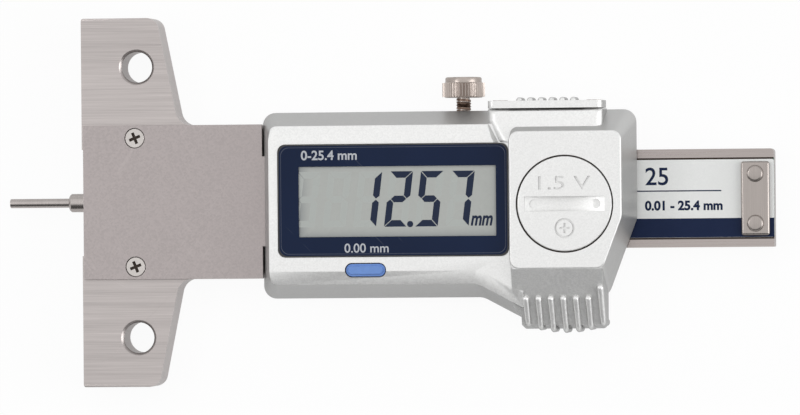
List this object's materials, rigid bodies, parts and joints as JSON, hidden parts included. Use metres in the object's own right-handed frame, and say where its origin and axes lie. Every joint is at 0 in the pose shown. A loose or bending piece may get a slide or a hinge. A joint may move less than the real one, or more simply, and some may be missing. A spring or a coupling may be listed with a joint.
{
  "type": "depth gauge",
  "caption": "Digital depth gauge with a winged steel base, a thin probe on a sliding beam, a display housing, a set button, a clamp screw and a coin-slot battery cap.",
  "frame": {"origin": "on the flat back plate, on the probe's centre line, 50 mm behind the measuring face", "axes": "+X along the beam, away from the probe's tip; +Y across the base; +Z the way the display faces, so the gauge lies on its back"},
  "size_m": [0.1253, 0.06, 0.0152],
  "materials": {
    "base_steel": "brushed stainless steel, lines along the beam",
    "cover_steel": "fine blasted stainless steel",
    "back_steel": "ground stainless steel",
    "frame_steel": "ground stainless steel",
    "beam_steel": "satin ground stainless steel",
    "probe_steel": "polished hardened steel",
    "stop_steel": "nickel plated steel",
    "clamp_steel": "nickel plated steel, straight knurl",
    "screw_steel": "plated steel",
    "battery_steel": "nickel plated steel can",
    "brass": "plain brass",
    "silver_shell": "silver metallic lacquer on moulded plastic",
    "window": "navy printed clear window",
    "lcd": "grey liquid crystal panel",
    "button": "blue key",
    "label": "light grey film with a navy band",
    "board": "glass fibre board",
    "black_plastic": "moulded black plastic",
    "rubber": "moulded black rubber"
  },
  "bodies": {
    "root": {"base_block": "base_steel", "cover_plate": "cover_steel", "cover_screw_upper": "screw_steel", "cover_screw_lower": "screw_steel", "back_plate": "back_steel", "stem_screw_1": "screw_steel", "stem_screw_2": "screw_steel", "stem_screw_3": "screw_steel", "stem_screw_4": "screw_steel", "housing_screw_1": "screw_steel", "housing_screw_2": "screw_steel", "housing_screw_3": "screw_steel", "housing_screw_4": "screw_steel", "slider_frame": "frame_steel", "gib_strip": "brass", "gib_screw_left": "screw_steel", "gib_screw_right": "screw_steel", "beam_wiper": "rubber", "front_housing": "silver_shell", "housing_seal": "rubber", "display_window": "window", "lcd_panel": "lcd", "lcd_strip_upper": "rubber", "lcd_strip_lower": "rubber", "circuit_board": "board", "pickup_board": "board", "button_seal": "rubber", "tact_switch": "black_plastic", "battery_cell": "battery_steel", "battery_contact": "brass", "battery_clip": "brass", "output_socket": "black_plastic", "port_gasket": "rubber", "port_cover": "silver_shell", "port_screw_left": "screw_steel", "port_screw_right": "screw_steel"},
    "beam_slide_body": {"beam": "beam_steel", "probe_rod": "probe_steel", "scale_strip": "board", "scale_label": "label", "stop_plate": "stop_steel", "stop_rivet_upper": "stop_steel", "stop_rivet_lower": "stop_steel"},
    "clamp_shoe_body": {"clamp_shoe": "brass"},
    "clamp_screw_body": {"clamp_screw": "clamp_steel"},
    "button_body": {"set_button": "button"},
    "cap_seal_body": {"cap_seal": "rubber"},
    "battery_cap_body": {"battery_cap": "silver_shell"}
  },
  "joints": [
    {"name": "beam_travel", "type": "slide", "parent": "root", "child": "beam_slide_body", "axis": [-1, 0, 0], "range_m": [-0.01257, 0.01283]},
    {"name": "clamp_travel", "type": "slide", "parent": "root", "child": "clamp_shoe_body", "axis": [0, 1, 0], "range_m": [0, 0.0009]},
    {"name": "clamp_turn", "type": "hinge", "parent": "clamp_shoe_body", "child": "clamp_screw_body", "pos_m": [0.0124, 0, 0.0036], "axis": [0, 1, 0], "range_deg": [0, 720]},
    {"name": "button_press", "type": "slide", "parent": "root", "child": "button_body", "axis": [0, 0, -1], "range_m": [0, 0.0004], "stiffness_N_per_m": 1500},
    {"name": "cap_lift", "type": "slide", "parent": "root", "child": "cap_seal_body", "axis": [0, 0, 1], "range_m": [0, 0.0035]},
    {"name": "cap_turn", "type": "hinge", "parent": "cap_seal_body", "child": "battery_cap_body", "pos_m": [0.02995, -0.0008, 0.01415], "axis": [0, 0, 1], "range_deg": [0, 1260]}
  ],
  "couplings": [
    {"joint": "clamp_turn", "follows": "clamp_travel", "rad_per_m": 13963},
    {"joint": "cap_turn", "follows": "cap_lift", "rad_per_m": 6283.2}
  ]
}
